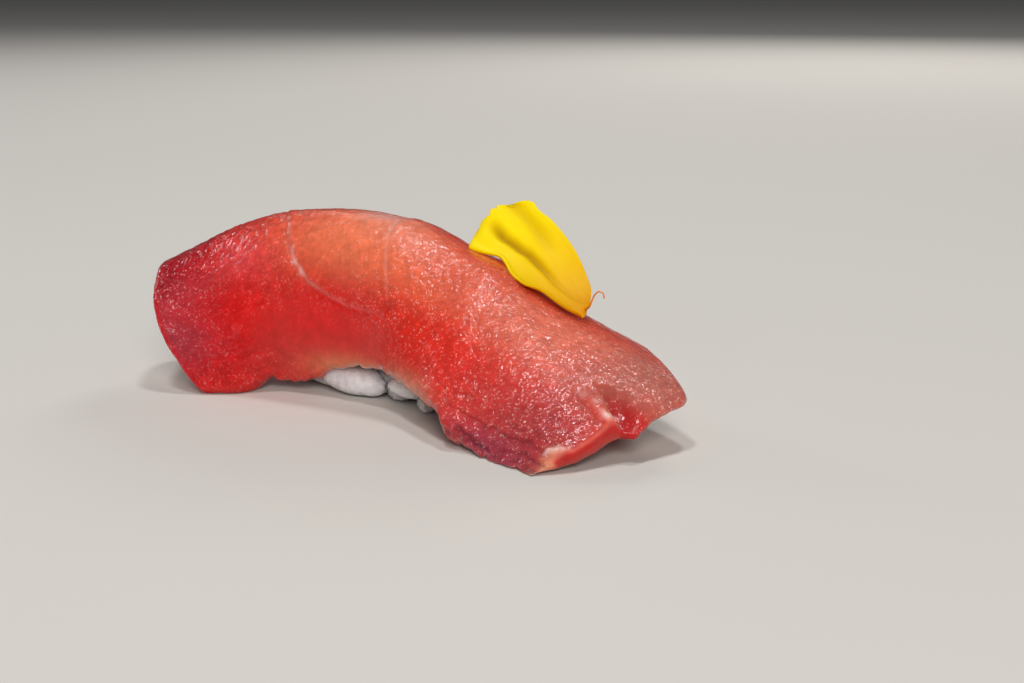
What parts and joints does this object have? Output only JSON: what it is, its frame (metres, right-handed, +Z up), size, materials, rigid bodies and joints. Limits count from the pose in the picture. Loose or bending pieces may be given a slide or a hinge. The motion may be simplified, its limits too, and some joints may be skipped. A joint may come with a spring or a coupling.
{
  "type": "tuna nigiri",
  "caption": "A slice of raw tuna draped over a small pressed oval of white sushi rice, with one yellow flower petal resting on its shoulder.",
  "frame": {"origin": "on the table under the middle of the piece's bounding box", "axes": "+X along the piece from the deep red end to the pale thin end, +Y from the low front edge of the slice to the back, +Z up"},
  "size_m": [0.0744, 0.0306, 0.0232],
  "materials": {
    "tuna": "wet raw tuna, deep red at one end to pale orange pink at the other",
    "rice": "moist white cooked rice",
    "petal": "soft lemon yellow petal, golden toward its base"
  },
  "bodies": {
    "root": {"tuna_slice": "tuna", "rice": "rice", "petal": "petal"}
  },
  "joints": []
}
